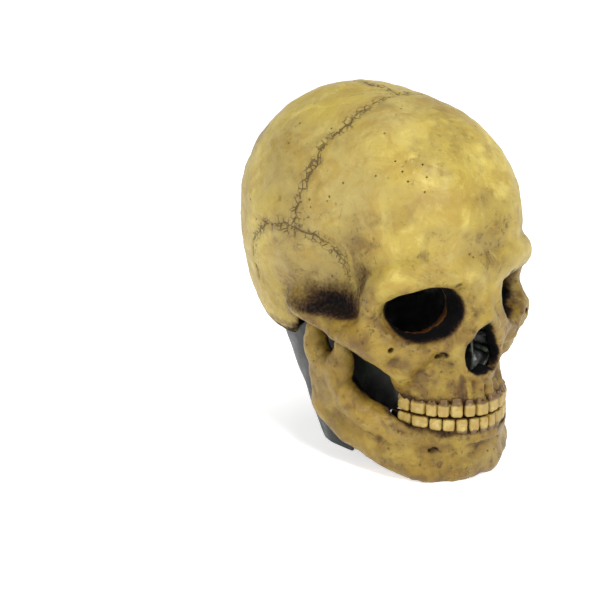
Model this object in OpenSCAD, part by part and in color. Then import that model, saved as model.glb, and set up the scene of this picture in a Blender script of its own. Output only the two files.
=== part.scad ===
// Latex skull mask: a hollow skull skin with eye holes, a flexing jaw, black side panels that
// show through the cheek hollows, two neck flaps either side of a rear slit, and foam fit pads.
// The face looks along -Y. The mask stands on its neck rim and chin at z = 0.

/* [Head] */
// Height from the chin to the crown
head_h = 275; // [262:1:288]
// Width across the cranium
head_w = 184; // [176:1:194]
// Depth from the front teeth to the back of the head
head_d = 242; // [232:1:252]
// Thickness of the cast latex skin
skin_t = 2.5; // [2:0.1:3]

/* [Eyes and nose] */
// Width of each eye hole
eye_w = 50; // [44:1:52]
// Height of each eye hole
eye_h = 42; // [36:1:44]
// Width of the nose opening
nose_w = 33; // [26:1:36]

/* [Teeth] */
// Teeth in each row
tooth_count = 14; // [10:2:16]
// Height of the crown of a tooth
tooth_h = 10.5; // [9:0.5:12]
// Height of the line where the two rows meet
bite_z = 52; // [50:0.5:54]
// Gap between the two halves of the mouth
bite_gap = 0.8; // [0.6:0.1:1.2]

/* [Neck] */
// Height of the top of the rear slit
slit_h = 90; // [84:1:92]
// Distance of each flap's fold from the middle
fold_x = 38; // [34:1:42]
// Width of the slit between the flaps
slit_gap = 1.4; // [1:0.1:3]
// Thickness of the black neck skin
neck_t = 2; // [1.6:0.1:2.4]

/* [Foam] */
// Thickness of the fit pads
pad_t = 9; // [6:1:12]

/* [Hidden] */

// Every place below is given for the standard head and stretched to the chosen size.
stretch = [head_w / 184, head_d / 242, head_h / 275];
glue_gap = 0.3;      // gap left where one piece is glued inside another
foam_gap = 1.2;      // gap between a soft pad and the skin it is glued to
big_fn = 36;         // facets round the cranium
small_fn = 14;       // facets round the small bones
far = 200;           // longer than any half of the mask

bone = [0.79, 0.71, 0.38];
black = [0.17, 0.18, 0.16];
foam = [0.28, 0.28, 0.29];
tooth = [0.80, 0.74, 0.50];
gauze = [0.75, 0.72, 0.62];

// The dental arch: an ellipse seen from above.
arch_centre = [0, -66];
arch_r = [40, 50];
arch_sweep = 168;

// The hinge line of the jaw, through both condyles.
jaw_hinge = [0, -8, 116];

// The neck narrows downwards. At each height: centre, half width and half depth of the ellipse
// at the back. A round corner at each side of the throat is the same all the way up.
neck_levels = [[0, 6, 46, 40], [94, 30, 64.5, 58], [110, 30, 64.5, 58]];
neck_corner = [27, -56];
neck_corner_r = 13;

// ---------------------------------------------------------------- shared shapes

function at(p) = [p.x * stretch.x, p.y * stretch.y, p.z * stretch.z];

module both_sides() {
    children();
    mirror([1, 0, 0]) children();
}

// An ellipsoid with its radii taken in by inset.
module blob(centre, radii, inset = 0, fn = big_fn) {
    r = at(radii) - [inset, inset, inset];
    translate(at(centre)) scale(r) sphere(r = 1, $fn = fn);
}

// A rounded bone through points [x, y, z, radius].
module limb(points, inset = 0) {
    for (i = [0:len(points) - 2]) hull() {
        ball(points[i], inset);
        ball(points[i + 1], inset);
    }
}

module ball(p, inset = 0) {
    translate(at(p)) sphere(r = max(p[3] - inset, 0.2), $fn = small_fn);
}

// A flat elliptical disc, the end of a tapered shape.
module disc(centre, radii, inset = 0) {
    translate(at(centre)) scale([radii.x * stretch.x - inset, radii.y * stretch.y - inset, 1])
        cylinder(r = 1, h = 0.1, $fn = big_fn);
}

// Everything inside a side-view outline of [y, z] points, at every x.
module side_cut(outline) {
    rotate([90, 0, 90]) translate([0, 0, -far]) linear_extrude(2 * far)
        polygon([for (p = outline) [p.x * stretch.y, p.y * stretch.z]]);
}

// Everything inside a front-view outline of [x, z] points, in front of y = 0.
module front_cut(outline) {
    rotate([90, 0, 0]) linear_extrude(far)
        polygon([for (p = outline) [p.x * stretch.x, p.y * stretch.z]]);
}

// ---------------------------------------------------------------- skull

module braincase(inset = 0) {
    hull() {
        blob([0, 22, 180], [92, 99, 95], inset);
        both_sides() blob([20, -34, 184], [50, 76, 70], inset);
        blob([0, -30, 186], [66, 79, 78], inset);
        blob([0, 52, 142], [70, 66, 52], inset);
    }
    both_sides() blob([40, 38, 118], [36, 48, 40], inset, 28);
}

module upper_jaw(inset = 0) {
    hull() {
        disc([0, -66, 50], [41, 50], inset);
        disc([0, -60, 104], [50, 46], inset);
    }
    hull() {
        disc([0, -60, 104], [50, 46], inset);
        disc([0, -40, 150], [58, 62], inset);
    }
}

// The rim of the right-hand eye hole from the brow round to the nose, and for each rim point
// the one behind it where the eye socket meets the braincase.
rim = [[0, -105, 160, 9], [28, -104, 161, 9.5], [51, -92, 158, 9], [66, -73, 148, 8],
       [68, -66, 126, 8], [62, -77, 107, 12], [43, -90, 101, 10], [24, -99, 107, 8.5],
       [13, -102, 128, 7.5], [8, -104, 148, 9]];
socket = [[0, -70, 170, 9], [24, -74, 170, 9.5], [44, -62, 168, 9], [52, -45, 154, 9],
          [52, -40, 128, 9], [46, -50, 108, 9], [34, -62, 102, 9], [20, -72, 108, 9],
          [10, -75, 128, 7.5], [6, -75, 150, 9]];

module eye_sockets(inset = 0) {
    both_sides() for (i = [0:len(rim) - 2]) hull() {
        ball(rim[i], inset);
        ball(rim[i + 1], inset);
        ball(socket[i], inset);
        ball(socket[i + 1], inset);
    }
}

// The cheekbone's bar back to the ear, and the shelf that closes the gap inside it.
arch = [[62, -76, 107, 12], [77, -52, 115, 8], [82, -24, 121, 6.5], [76, 4, 124, 8]];
shelf = [[48, -60, 112, 8], [54, -46, 120, 6], [66, -24, 122, 6], [66, 4, 124, 6]];

module cheekbones() {
    both_sides() for (i = [0:len(arch) - 2]) hull() {
        ball(arch[i]);
        ball(arch[i + 1]);
        ball(shelf[i]);
        ball(shelf[i + 1]);
    }
}

module nose_bones() {
    limb([[0, -103, 150, 10], [0, -110, 134, 7.5], [0, -116, 122, 5]]);
    both_sides() limb([[6, -107, 136, 7], [16, -104, 116, 6], [19, -102, 98, 6],
                       [13, -109, 85, 5], [0, -113, 82, 5]]);
}

// The hollow of the temple, above the cheekbone's arch.
temple = [96, -40, 151];
temple_r = [27, 35, 39];

module temple_hollows(inset = 0) {
    both_sides() blob(temple, temple_r, -inset, 26);
}

module skull_form(inset = 0) {
    difference() {
        union() {
            braincase(inset);
            upper_jaw(inset);
            eye_sockets(inset);
        }
        temple_hollows(inset);
    }
}

// What the skull skin leaves open below: mouth line, cheek hollow, arch, mastoid and nape.
below_skull = [[-140, 52], [-70, 52], [-66, 84], [-60, 93], [-44, 102], [-20, 110], [12, 112],
               [18, 100], [28, 88], [46, 86], [58, 92], [140, 92], [140, -20], [-140, -20]];

nose_outline = [[0, 87], [5, 84.5], [13, 86], [16.5, 93], [13, 104], [7, 116], [0, 121]];

module eye_holes() {
    both_sides() translate(at([40, -84, 132])) rotate([90, 0, 20])
        scale([eye_w / 2, eye_h / 2, 1]) cylinder(r = 1, h = 80, center = true, $fn = 40);
}

module nose_hole() {
    half = [for (p = nose_outline) [p.x * nose_w / 33, p.y]];
    translate([0, -90 * stretch.y, 0])
        front_cut(concat(half, [for (i = [len(half) - 2:-1:1]) [-half[i].x, half[i].y]]));
}

module skull_skin() {
    color(bone) difference() {
        union() {
            skull_form();
            cheekbones();
            nose_bones();
        }
        skull_form(skin_t);
        side_cut(below_skull);
        eye_holes();
        nose_hole();
        bite_clearance();
        neck_room();
    }
}

// The way in for the head, cut through the underside of the braincase.
module neck_room() {
    top = neck_levels[1];
    hull() for (z = [-1, 126]) neck_section([z, top[1], top[2], top[3]], neck_t);
}

module bite_clearance() {
    translate([-far, -far, (bite_z * stretch.z) - bite_gap / 2])
        cube([2 * far, far - 70 * stretch.y, bite_gap]);
}

module nose_cup() {
    color(black) intersection() {
        difference() {
            blob([0, -104, 102], [23, 21, 27], 0, 32);
            difference() {
                blob([0, -104, 102], [23, 21, 27], 1.8, 32);
                // the septum, a thin upright wall in the middle
                translate([-1.2, -120, 80]) cube([2.4, 40, 50]);
            }
            vent_slots();
        }
        difference() {
            skull_form(skin_t + glue_gap);
            translate([-far, -far, 0]) cube([2 * far, far - 101 * stretch.y, far]);
        }
    }
}

// Two breathing slots through the back of the nose cup.
module vent_slots() {
    both_sides() translate(at([8, -84, 98])) rotate([90, 0, 0])
        linear_extrude(30, center = true) hull() {
            translate([0, -6]) circle(r = 3, $fn = 16);
            translate([0, 6]) circle(r = 3, $fn = 16);
        }
}

// ---------------------------------------------------------------- teeth

// One tooth of width w and depth d, standing up from z = 0, with its corners taken off.
module tooth_block(w, d, h) {
    c = min(w, d) * 0.28;
    linear_extrude(h) polygon([[-w / 2, d / 2 - c], [-w / 2 + c, d / 2], [w / 2 - c, d / 2],
        [w / 2, d / 2 - c], [w / 2, -d / 2 + c], [w / 2 - c, -d / 2], [-w / 2 + c, -d / 2],
        [-w / 2, -d / 2 + c]]);
}

// A band along the dental arch with the teeth standing out of it.
module tooth_row(z0, h) {
    step = arch_sweep / tooth_count;
    a = arch_r.x * stretch.x;
    b = arch_r.y * stretch.y;
    translate([0, arch_centre.y * stretch.y, z0]) linear_extrude(h) difference() {
        scale([a + 1.6, b + 1.6]) circle(r = 1, $fn = 72);
        scale([a - 2.4, b - 2.4]) circle(r = 1, $fn = 72);
        translate([-far, -b * cos(arch_sweep / 2)]) square([2 * far, far]);
    }
    for (i = [0:tooth_count - 1]) {
        angle = -arch_sweep / 2 + step * (i + 0.5);
        pitch = sqrt(pow(a * cos(angle), 2) + pow(b * sin(angle), 2)) * step * PI / 180;
        facing = atan2(a * cos(angle), b * sin(angle));
        translate([a * sin(angle), arch_centre.y * stretch.y - b * cos(angle), z0])
            rotate([0, 0, 90 - facing]) tooth_block(pitch - 0.6, 6, h);
    }
}

module upper_teeth() {
    color(tooth) tooth_row(bite_z * stretch.z + bite_gap / 2, tooth_h);
}

module lower_teeth() {
    color(tooth) tooth_row(bite_z * stretch.z - bite_gap / 2 - tooth_h, tooth_h);
}

// ---------------------------------------------------------------- neck

// A thin slice of the neck, taken in by inset.
module neck_section(level, inset = 0) {
    disc([0, level[1], level[0]], [level[2], level[3]], inset);
    both_sides() translate(at([neck_corner.x, neck_corner.y, level[0]]))
        cylinder(r = neck_corner_r - inset, h = 0.1, $fn = 24);
}

// The neck as a solid, longer by spill at both ends.
module neck_form(inset = 0, spill = 0) {
    last = len(neck_levels) - 1;
    for (i = [0:last - 1]) hull() {
        neck_section(neck_levels[i] - [i == 0 ? spill : 0, 0, 0, 0], inset);
        neck_section(neck_levels[i + 1] + [i + 1 == last ? spill : 0, 0, 0, 0], inset);
    }
}

module neck_wall() {
    difference() {
        neck_form();
        neck_form(neck_t, 1);
    }
}

// The side panel from the side: the neck behind, and the floor of the cheek hollow in front.
// The hem is level under the ear and rises towards the nape.
panel_side = [[-16, 0], [24, 0], [40, 14], [58, 33], [92, 58], [92, 90.5], [58, 90.5], [46, 85],
              [28, 86.5], [18, 97.5], [11, 109.5], [-20, 107.5], [-44, 99.5], [-60, 90], [-67, 80],
              [-67, 58], [-57, 56], [-54, 42], [-38, 40], [-20, 28]];
flap_side = [[24, 0], [40, 14], [58, 33], [92, 58], [92, 200], [24, 200]];

module right_side_panel() {
    color(black) intersection() {
        neck_wall();
        side_cut(panel_side);
        translate([-far, -far, 0]) cube([far - fold_x - 0.6, 2 * far, far]);
    }
}

module left_side_panel() {
    mirror([1, 0, 0]) right_side_panel();
}

module right_neck_flap() {
    color(black) intersection() {
        neck_wall();
        side_cut(flap_side);
        translate([-fold_x, 0, 1]) cube([fold_x - slit_gap / 2, far, slit_h]);
    }
}

module left_neck_flap() {
    mirror([1, 0, 0]) right_neck_flap();
}

// Cloth glued inside the nape above the slit, so that the slit can't tear upwards.
module slit_patch() {
    color(gauze) intersection() {
        inner_layer([0, 52, 142], [70, 66, 52], 0.9);
        translate([-16, 70, 94]) cube([32, far, 20]);
    }
}

// ---------------------------------------------------------------- foam

// A layer of thickness t against the inside of one rounded part of the skull.
module inner_layer(centre, radii, t) {
    difference() {
        blob(centre, radii, skin_t + foam_gap);
        blob(centre, radii, skin_t + foam_gap + t);
    }
}

module foam_pad(centre, size, wall_centre = [0, 22, 180], wall_radii = [92, 99, 95]) {
    color(foam) intersection() {
        inner_layer(wall_centre, wall_radii, pad_t);
        translate(at(centre)) rounded_block(size);
    }
}

module rounded_block(size) {
    r = min(size) * 0.25;
    hull() for (x = [-1, 1], y = [-1, 1], z = [-1, 1])
        translate([x * (size.x / 2 - r), y * (size.y / 2 - r), z * (size.z / 2 - r)])
            sphere(r = r, $fn = 12);
}

module forehead_pad() {
    foam_pad([0, -90, 196], [88, 60, 34], [0, -34, 184], [92, 76, 72]);
}

module crown_pad() {
    foam_pad([0, 24, 262], [96, 84, 60]);
}

module nape_pad() {
    foam_pad([0, 102, 170], [90, 60, 42]);
}

module right_temple_pad() {
    foam_pad([-82, 26, 176], [60, 62, 44]);
}

module left_temple_pad() {
    mirror([1, 0, 0]) right_temple_pad();
}

module chin_pad() {
    color(foam) hull() both_sides() {
        ball([13, -98, 12, 6.2]);
        ball([13, -106, 34, 3.2]);
    }
}

// ---------------------------------------------------------------- jaw

// The jaw from its angle to the chin: points along the lower edge, then along the upper edge.
jaw_low = [[61, -8, 44, 8.5], [57, -32, 31, 9.5], [47, -60, 20, 10.5], [33, -84, 13, 11.5],
           [14, -97, 11, 11], [0, -99, 11, 11]];
jaw_top = [[63, -30, 62, 8], [58, -46, 49, 7.5], [42, -68, 37, 7], [31, -92, 36, 7.5],
           [14, -105, 36, 7.5], [0, -108, 36, 7.5]];

module jaw_form(inset = 0) {
    both_sides() {
        for (i = [0:len(jaw_low) - 2]) hull() {
            ball(jaw_low[i], inset);
            ball(jaw_low[i + 1], inset);
            ball(jaw_top[i], inset);
            ball(jaw_top[i + 1], inset);
        }
        limb([[72, -8, 104, 6.5], [70, -7, 90, 7.5]], inset);
        limb([[70, -36, 97, 5.5], [68, -34, 84, 7.5]], inset);
        hull() {
            ball([70, -7, 90, 7.5], inset);
            ball([68, -34, 84, 7.5], inset);
            ball(jaw_top[0], inset);
            ball(jaw_low[0], inset);
        }
    }
    hull() {
        disc([0, -66, 40], [42, 51], inset);
        disc([0, -66, 54], [41, 50], inset);
    }
}

// The room inside the jaw, from the neck to the chin; the skin is open on this side.
throat = [[-60.5, 60], [-60.5, -14], [-51, -46], [-36, -76], [-14, -90], [14, -90], [36, -76],
          [51, -46], [60.5, -14], [60.5, 60]];

module jaw_skin() {
    mouth = bite_z * stretch.z - bite_gap / 2;
    color(bone) difference() {
        jaw_form();
        jaw_form(skin_t);
        translate([0, 0, -5]) linear_extrude(head_h / 2)
            polygon([for (p = throat) [p.x * stretch.x, p.y * stretch.y]]);
        translate([-far, -far, mouth]) cube([2 * far, far - 62 * stretch.y, far]);
    }
}

skull_skin();
upper_teeth();
nose_cup();
right_side_panel();
left_side_panel();
slit_patch();
forehead_pad();
crown_pad();
nape_pad();
right_temple_pad();
left_temple_pad();
jaw_skin();
lower_teeth();
chin_pad();
right_neck_flap();
left_neck_flap();
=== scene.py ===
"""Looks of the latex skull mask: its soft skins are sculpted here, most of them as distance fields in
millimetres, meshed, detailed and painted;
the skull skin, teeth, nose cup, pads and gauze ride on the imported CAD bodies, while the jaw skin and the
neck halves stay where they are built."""
import math

import bpy
import numpy as np
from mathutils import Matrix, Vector


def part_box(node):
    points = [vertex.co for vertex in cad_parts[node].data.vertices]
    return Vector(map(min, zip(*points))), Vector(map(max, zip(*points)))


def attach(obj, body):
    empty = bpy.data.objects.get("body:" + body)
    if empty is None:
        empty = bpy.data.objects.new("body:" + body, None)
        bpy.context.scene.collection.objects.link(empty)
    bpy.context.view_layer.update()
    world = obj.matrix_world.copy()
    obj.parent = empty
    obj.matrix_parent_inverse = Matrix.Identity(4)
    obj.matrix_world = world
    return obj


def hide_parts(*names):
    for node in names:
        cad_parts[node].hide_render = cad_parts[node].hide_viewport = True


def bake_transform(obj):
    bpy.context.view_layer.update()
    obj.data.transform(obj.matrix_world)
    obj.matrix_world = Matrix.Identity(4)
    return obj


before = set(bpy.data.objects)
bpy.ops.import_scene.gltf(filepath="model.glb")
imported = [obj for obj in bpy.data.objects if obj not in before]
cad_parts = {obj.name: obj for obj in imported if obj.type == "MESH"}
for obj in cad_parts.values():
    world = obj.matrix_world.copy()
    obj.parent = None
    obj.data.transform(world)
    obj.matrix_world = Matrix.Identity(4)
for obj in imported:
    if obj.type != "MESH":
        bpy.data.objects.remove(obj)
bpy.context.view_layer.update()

MM = 0.001
LATEX = 2.5          # skin thickness, mm
TAU = 2 * math.pi


# ------------------------------------------------------------------ distance fields
def smooth_min(a, b, k):
    """The nearer of two solids, joined by a fillet about k wide, or plainly when k is 0."""
    if k <= 0:
        return np.minimum(a, b)
    h = np.maximum(k - np.abs(a - b), 0) / k
    return np.minimum(a, b) - h * h * (k / 4)


def smooth_max(a, b, k):
    """What two solids share, with the edge between them rounded about k wide."""
    return -smooth_min(-a, -b, k)


def ellipsoid(centre, radii, axes=None):
    """axes: three rows, the ellipsoid's own directions."""
    c = np.array(centre, np.float32)
    r = np.array(radii, np.float32)

    def field(p):
        q = p - c
        if axes is not None:
            q = q @ np.array(axes, np.float32).T
        k0 = np.sqrt(((q / r) ** 2).sum(-1))
        k1 = np.sqrt(((q / (r * r)) ** 2).sum(-1)) + 1e-6
        return k0 * (k0 - 1) / k1

    half = np.array(radii if axes is None else [max(radii)] * 3, float)
    return field, np.array(centre) - half, np.array(centre) + half


def limb(a, b):
    """A rounded bone between two points [x, y, z, radius]."""
    pa, pb = np.array(a[:3], np.float32), np.array(b[:3], np.float32)
    ra, rb = a[3], b[3]
    ab = pb - pa
    length2 = float((ab * ab).sum()) + 1e-6

    def field(p):
        t = np.clip(((p - pa) @ ab) / length2, 0, 1)
        near = pa + t[..., None] * ab
        return np.sqrt(((p - near) ** 2).sum(-1)) - (ra + (rb - ra) * t)

    lo = np.minimum(pa - ra, pb - rb)
    hi = np.maximum(pa + ra, pb + rb)
    return field, lo, hi


def arch_block(levels):
    """An upright block with elliptical sections [z, centre_y, half_width, half_depth]."""
    z = np.array([v[0] for v in levels], np.float32)

    def field(p):
        h = p[..., 2]
        cy = np.interp(h, z, [v[1] for v in levels])
        a = np.interp(h, z, [v[2] for v in levels])
        b = np.interp(h, z, [v[3] for v in levels])
        qx, qy = p[..., 0], p[..., 1] - cy
        k0 = np.sqrt((qx / a) ** 2 + (qy / b) ** 2)
        k1 = np.sqrt((qx / a ** 2) ** 2 + (qy / b ** 2) ** 2) + 1e-6
        side = k0 * (k0 - 1) / k1
        ends = np.maximum(z[0] - h, h - z[-1])
        return smooth_max(side, ends, 3).astype(np.float32)

    reach = max(max(v[2], v[3]) for v in levels)
    mid = levels[0][1]
    return field, np.array([-reach, mid - reach - 10, z[0]]), np.array([reach, mid + reach + 40, z[-1]])


def rounded_box(centre, half, radius, turn=0.0):
    """turn: degrees about the upright axis."""
    c = np.array(centre, np.float32)
    h = np.array(half, np.float32) - radius
    s, k = math.sin(math.radians(turn)), math.cos(math.radians(turn))

    def field(p):
        q = p - c
        q = np.stack([q[..., 0] * k + q[..., 1] * s, -q[..., 0] * s + q[..., 1] * k, q[..., 2]], -1)
        q = np.abs(q) - h
        outside = np.sqrt((np.maximum(q, 0) ** 2).sum(-1))
        return outside + np.minimum(q.max(-1), 0) - radius

    reach = np.array([math.hypot(half[0], half[1])] * 2 + [half[2]])
    return field, np.array(centre) - reach, np.array(centre) + reach


class Grid:
    """A block of space, sampled evenly, holding one distance field."""

    def __init__(self, lo, hi, step, start=40.0):
        self.lo, self.step = np.array(lo, float), step
        self.axes = [np.arange(lo[i], hi[i] + step * 0.5, step, dtype=np.float32) for i in range(3)]
        self.d = np.full([len(a) for a in self.axes], start, np.float32)

    def window(self, lo, hi, margin):
        """The samples within margin of a box."""
        cut = []
        for i in range(3):
            a = self.axes[i]
            first = int(np.searchsorted(a, lo[i] - margin))
            last = int(np.searchsorted(a, hi[i] + margin))
            cut.append(slice(max(first, 0), min(last, len(a))))
        return tuple(cut)

    def points(self, cut=None):
        ax = self.axes if cut is None else [self.axes[i][cut[i]] for i in range(3)]
        return np.stack(np.meshgrid(*ax, indexing="ij"), -1)

    def add(self, shape, k):
        """Join a shape to the block's solid, with a fillet k wide."""
        field, lo, hi = shape
        cut = self.window(lo, hi, k + 4 + 2 * self.step)
        if 0 in self.d[cut].shape:
            return
        self.d[cut] = smooth_min(self.d[cut], field(self.points(cut)), k)

    def carve(self, shape, k, grow=0.0):
        """Take a shape, made bigger by grow, out of the block's solid."""
        field, lo, hi = shape
        cut = self.window(lo, hi, k + grow + 2 * self.step)
        if 0 in self.d[cut].shape:
            return
        self.d[cut] = smooth_max(self.d[cut], grow - field(self.points(cut)), k)

    def chain(self, points, k):
        """Rounded bones from point to point."""
        for a, b in zip(points[:-1], points[1:]):
            self.add(limb(a, b), k)

    def wall(self, edge, other, k, radius=None):
        """Rounded bones from each point of one chain to the matching point of another."""
        for i, a in enumerate(edge):
            b = other[min(round(i * (len(other) - 1) / (len(edge) - 1)), len(other) - 1)]
            self.add(limb(a, b if radius is None else [*b[:3], radius]), k)

    def copy(self):
        g = Grid.__new__(Grid)
        g.lo, g.step, g.axes, g.d = self.lo, self.step, self.axes, self.d.copy()
        return g


def between(points, pitch):
    """Points [x, y, z, radius] at an even pitch along a chain, on a smooth curve."""
    p = np.array(points, float)
    gaps = np.sqrt((np.diff(p[:, :3], axis=0) ** 2).sum(1))
    s = np.concatenate([[0], np.cumsum(gaps)])
    n = max(int(s[-1] / pitch), len(points))
    t = np.linspace(0, s[-1], n + 1)
    out = []
    for v in t:
        i = min(int(np.searchsorted(s, v, side="right")) - 1, len(points) - 2)
        u = (v - s[i]) / gaps[i]
        p0, p1, p2, p3 = p[max(i - 1, 0)], p[i], p[i + 1], p[min(i + 2, len(p) - 1)]
        out.append(0.5 * (2 * p1 + (p2 - p0) * u + (2 * p0 - 5 * p1 + 4 * p2 - p3) * u ** 2
                          + (3 * p1 - p0 - 3 * p2 + p3) * u ** 3))
    return [list(q) for q in out]


def polygon_distance(points, u, v):
    """Signed distance to a closed outline in a plane, negative inside."""
    pts = np.array(points, float)
    best = np.full(np.broadcast(u, v).shape, 1e9)
    inside = np.zeros(best.shape, bool)
    for i in range(len(pts)):
        a, b = pts[i], pts[(i + 1) % len(pts)]
        e = b - a
        t = np.clip(((u - a[0]) * e[0] + (v - a[1]) * e[1]) / (e @ e), 0, 1)
        best = np.minimum(best, np.hypot(u - a[0] - t * e[0], v - a[1] - t * e[1]))
        crosses = ((a[1] > v) != (b[1] > v))
        slope = e[0] / e[1] if e[1] else 0.0
        inside ^= crosses & (u < a[0] + (v - a[1]) * slope)
    return np.where(inside, -best, best)


# ------------------------------------------------------------------ meshing
def mirrored(grid):
    """A full field from one made for x >= 0."""
    g = grid.copy()
    g.d = np.concatenate([grid.d[:0:-1], grid.d], 0)
    g.lo = np.array([-grid.axes[0][-1], grid.lo[1], grid.lo[2]])
    g.axes = [np.concatenate([-grid.axes[0][:0:-1], grid.axes[0]]), grid.axes[1], grid.axes[2]]
    return g


def surface(grid):
    """Corner points and four-sided faces of the field's zero surface."""
    d = grid.d
    sign = d < 0
    corners = [(i, j, k) for i in (0, 1) for j in (0, 1) for k in (0, 1)]
    shape = np.array(d.shape) - 1

    def corner(a, c):
        return a[c[0]:c[0] + shape[0], c[1]:c[1] + shape[1], c[2]:c[2] + shape[2]]

    total = sum(corner(sign, c).astype(np.uint8) for c in corners)
    active = np.argwhere((total > 0) & (total < 8))
    number = np.full(shape, -1, np.int32)
    number[tuple(active.T)] = np.arange(len(active))
    value = {c: corner(d, c)[tuple(active.T)] for c in corners}
    place = np.zeros((len(active), 3))
    count = np.zeros(len(active))
    for a in corners:
        for axis in range(3):
            if a[axis]:
                continue
            b = tuple(1 if i == axis else a[i] for i in range(3))
            va, vb = value[a], value[b]
            crossing = (va < 0) != (vb < 0)
            t = np.where(crossing, va / np.where(crossing, va - vb, 1), 0)
            for i in range(3):
                place[:, i] += np.where(crossing, a[i] + (t if i == axis else 0), 0)
            count += crossing
    points = (active + place / count[:, None]) * grid.step + grid.lo
    faces = []
    for axis in range(3):
        u, v = (axis + 1) % 3, (axis + 2) % 3
        lower = [slice(None)] * 3
        upper = [slice(None)] * 3
        lower[axis], upper[axis] = slice(0, -1), slice(1, None)
        change = sign[tuple(lower)] != sign[tuple(upper)]
        at = np.argwhere(change)
        at = at[(at[:, u] > 0) & (at[:, v] > 0) & (at[:, u] < shape[u]) & (at[:, v] < shape[v])]
        step_u, step_v = np.eye(3, dtype=int)[u], np.eye(3, dtype=int)[v]
        ring = [at - step_u - step_v, at - step_v, at, at - step_u]
        quad = np.stack([number[tuple(r.T)] for r in ring], 1)
        flip = ~sign[tuple(at.T)]
        quad[flip] = quad[flip][:, ::-1]
        faces.append(quad)
    return points, np.concatenate(faces)


def neighbours_mean(values, faces):
    """Each point's mean over the points it shares an edge with."""
    total = np.zeros_like(values)
    count = np.zeros(len(values))
    for i in range(4):
        a, b = faces[:, i], faces[:, (i + 1) % 4]
        for s, t in ((a, b), (b, a)):
            if values.ndim == 1:
                total += np.bincount(s, values[t], len(values))
            else:
                for c in range(3):
                    total[:, c] += np.bincount(s, values[t, c], len(values))
            count += np.bincount(s, minlength=len(values))
    count = np.maximum(count, 1)
    return total / (count if values.ndim == 1 else count[:, None])


def relax(points, faces, rounds, amount=0.5):
    for _ in range(rounds):
        points = points + amount * (neighbours_mean(points, faces) - points)
    return points


def normals(points, faces):
    a, b, c, d = (points[faces[:, i]] for i in range(4))
    n = np.cross(c - a, d - b)
    out = np.zeros_like(points)
    for i in range(4):
        for k in range(3):
            out[:, k] += np.bincount(faces[:, i], n[:, k], len(points))
    return out / (np.linalg.norm(out, axis=1, keepdims=True) + 1e-9)


def sample(grid, points):
    """The field at any points, between its samples."""
    q = (points - grid.lo) / grid.step
    top = np.array(grid.d.shape) - 2
    i = np.clip(q.astype(int), 0, top)
    f = np.clip(q - i, 0, 1)
    out = np.zeros(len(points))
    for a in (0, 1):
        for b in (0, 1):
            for c in (0, 1):
                w = ((f[:, 0] if a else 1 - f[:, 0]) * (f[:, 1] if b else 1 - f[:, 1])
                     * (f[:, 2] if c else 1 - f[:, 2]))
                out += w * grid.d[i[:, 0] + a, i[:, 1] + b, i[:, 2] + c]
    return out


def noise(points, size, seed=0):
    """Smooth noise from -1 to 1 with lumps about size across."""
    q = points / size + seed * 17.31
    i = np.floor(q).astype(np.int64)
    f = q - i
    w = f * f * f * (f * (f * 6 - 15) + 10)
    out = np.zeros(len(points))
    for a in (0, 1):
        for b in (0, 1):
            for c in (0, 1):
                x, y, z = i[:, 0] + a, i[:, 1] + b, i[:, 2] + c
                h = (x * 374761393 + y * 668265263 + z * 2147483647 + seed * 1274126177) & 0xFFFFFFFF
                h = ((h ^ (h >> 13)) * 1274126177) & 0xFFFFFFFF
                h = (h ^ (h >> 16)) & 0xFFFFFFFF
                gx = ((h & 1023) / 511.5) - 1
                gy = (((h >> 10) & 1023) / 511.5) - 1
                gz = (((h >> 20) & 1023) / 511.5) - 1
                dot = gx * (f[:, 0] - a) + gy * (f[:, 1] - b) + gz * (f[:, 2] - c)
                weight = ((w[:, 0] if a else 1 - w[:, 0]) * (w[:, 1] if b else 1 - w[:, 1])
                          * (w[:, 2] if c else 1 - w[:, 2]))
                out += weight * dot
    return out * 1.4


def smoothstep(lo, hi, v):
    t = np.clip((v - lo) / (hi - lo), 0, 1)
    return t * t * (3 - 2 * t)


def two_sided(shape):
    """Faces of a sheet's front, back and rim, whose points lie in two grids of this shape."""
    index = np.arange(shape[0] * shape[1]).reshape(shape)
    front = np.stack([index[:-1, :-1], index[1:, :-1], index[1:, 1:], index[:-1, 1:]], -1)
    front = front.reshape(-1, 4)
    ring = np.concatenate([index[:, 0], index[-1, 1:], index[-2::-1, -1], index[0, -2:0:-1]])
    after = np.roll(ring, -1)
    rim = np.stack([after, ring, ring + index.size, after + index.size], -1)
    return np.concatenate([front, front[:, ::-1] + index.size, rim])


def make_object(name, points, faces, material, attributes=None):
    """A mesh piece from points in millimetres."""
    faces = np.asarray(faces, np.int32)
    sides = faces.shape[1]
    mesh = bpy.data.meshes.new(name)
    mesh.vertices.add(len(points))
    mesh.vertices.foreach_set("co", (np.asarray(points, np.float32) * MM).ravel())
    mesh.loops.add(faces.size)
    mesh.loops.foreach_set("vertex_index", faces.ravel())
    mesh.polygons.add(len(faces))
    mesh.polygons.foreach_set("loop_start", np.arange(0, faces.size, sides, dtype=np.int32))
    mesh.polygons.foreach_set("loop_total", np.full(len(faces), sides, np.int32))
    mesh.update(calc_edges=True)
    mesh.validate()
    mesh.polygons.foreach_set("use_smooth", np.full(len(mesh.polygons), True))
    for key, values in (attributes or {}).items():
        layer = mesh.attributes.new(key, "FLOAT", "POINT")
        layer.data.foreach_set("value", np.asarray(values, np.float32))
    mesh.materials.append(material)
    obj = bpy.data.objects.new(name, mesh)
    bpy.context.scene.collection.objects.link(obj)
    return obj


def stand_in(piece, body, node):
    """Let a piece ride on a body in place of one plain node."""
    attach(piece, body)
    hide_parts(node)


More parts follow.
